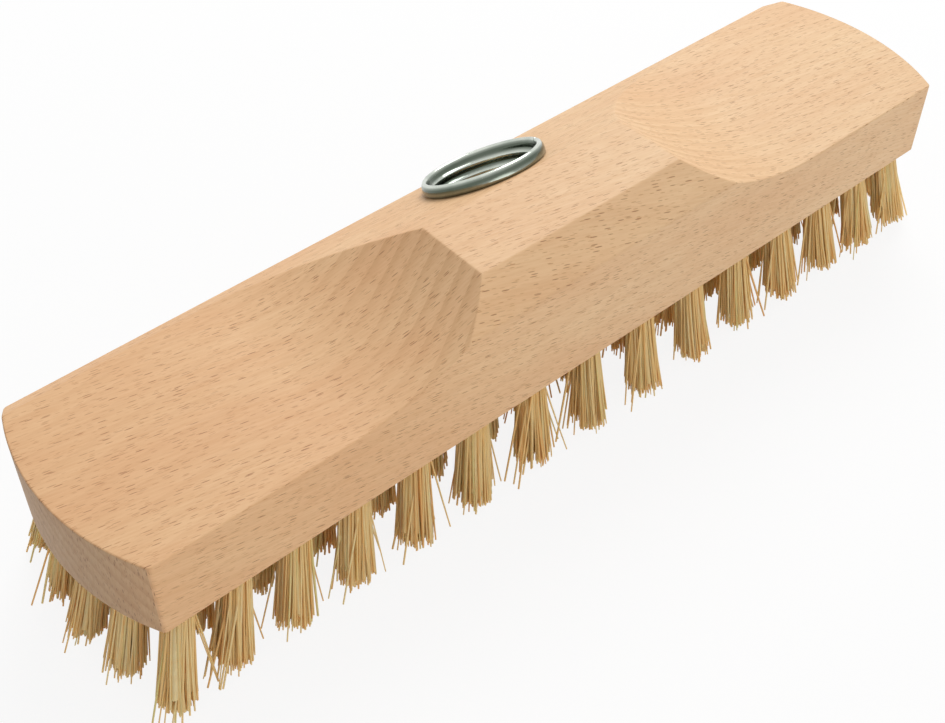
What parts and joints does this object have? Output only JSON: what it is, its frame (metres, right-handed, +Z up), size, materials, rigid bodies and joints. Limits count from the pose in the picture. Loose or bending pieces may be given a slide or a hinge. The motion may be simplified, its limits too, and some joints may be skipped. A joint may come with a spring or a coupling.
{
  "type": "scrub brush",
  "caption": "Scrubbing brush head: scooped beech block with a slanted threaded handle socket and fanned rows of plant-fibre tufts.",
  "frame": {"origin": "centre of the brush in plan, on the plane of the trimmed bristle tips", "axes": "+X along the length, +Y towards the slope that carries the handle socket, +Z up away from the bristles"},
  "size_m": [0.2304, 0.0582, 0.0579],
  "materials": {
    "beech": "bare milled beech, sanded",
    "zinc_steel": "bright zinc plate on rolled sheet steel",
    "fibre": "matt plant fibre",
    "anchor_wire": "flat drawn wire"
  },
  "bodies": {
    "root": {"wood_block": "beech", "handle_socket": "zinc_steel", "tuft_row_1": "fibre", "tuft_row_2": "fibre", "tuft_row_3": "fibre", "tuft_row_4": "fibre", "tuft_row_5": "fibre", "anchor_row_1": "anchor_wire", "anchor_row_2": "anchor_wire", "anchor_row_3": "anchor_wire", "anchor_row_4": "anchor_wire", "anchor_row_5": "anchor_wire"}
  },
  "joints": []
}
